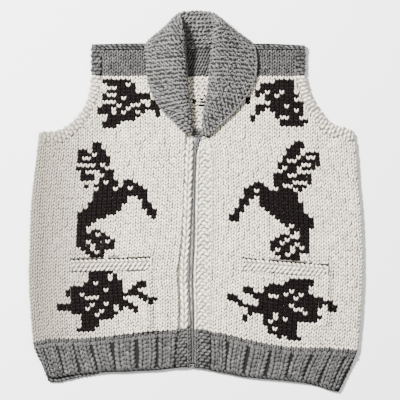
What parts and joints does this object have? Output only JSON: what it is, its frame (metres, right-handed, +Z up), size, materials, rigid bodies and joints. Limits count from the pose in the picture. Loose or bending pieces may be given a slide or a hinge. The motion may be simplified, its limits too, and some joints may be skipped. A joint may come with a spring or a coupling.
{
  "type": "knitted vest",
  "caption": "Bulky hand-knit zip vest with a shawl collar, ribbed hem, garter armhole bands and two inset pockets, laid flat on its back.",
  "frame": {"origin": "centre of the garment's footprint, on the surface it lies on", "axes": "+Y towards the collar along the zip, +Z up out of the fronts, +X towards the side at the right of a viewer looking down with the collar away from them"},
  "size_m": [0.5504, 0.6301, 0.0369],
  "materials": {
    "cream_wool": "matt bulky wool knit, cream with near-black colourwork",
    "grey_wool": "matt bulky wool knit, marled mid grey",
    "zip_tape": "woven grey tape",
    "zip_teeth": "dark moulded coil",
    "zip_metal": "bright plated metal"
  },
  "bodies": {
    "vest": {"armband_back_left": "cream_wool", "armband_back_left_grey": "grey_wool", "armband_back_right": "cream_wool", "armband_back_right_grey": "grey_wool", "armband_front_left": "cream_wool", "armband_front_left_grey": "grey_wool", "armband_front_right": "cream_wool", "armband_front_right_grey": "grey_wool", "back": "cream_wool", "back_yoke": "grey_wool", "collar": "grey_wool", "front_band_left": "cream_wool", "front_band_right": "cream_wool", "front_left": "cream_wool", "front_right": "cream_wool", "hem_back": "grey_wool", "hem_band_left": "grey_wool", "hem_band_right": "grey_wool", "hem_left": "grey_wool", "hem_right": "grey_wool", "pocket_lining_left": "cream_wool", "pocket_lining_right": "cream_wool", "pocket_welt_left": "cream_wool", "pocket_welt_right": "cream_wool", "shoulder_seam_left": "grey_wool", "shoulder_seam_right": "grey_wool", "yoke_left": "grey_wool", "yoke_right": "grey_wool", "zip_slider": "zip_metal", "zip_stop": "zip_metal", "zip_tape_left": "zip_tape", "zip_tape_right": "zip_tape", "zip_teeth_left": "zip_teeth", "zip_teeth_right": "zip_teeth"},
    "pull": {"zip_pull": "zip_metal"}
  },
  "joints": [
    {"name": "zip_pull_swing", "type": "hinge", "parent": "vest", "child": "pull", "pos_m": [0.00132, 0.09727, 0.01055], "axis": [-1, 0, 0], "range_deg": [0, 120]}
  ]
}
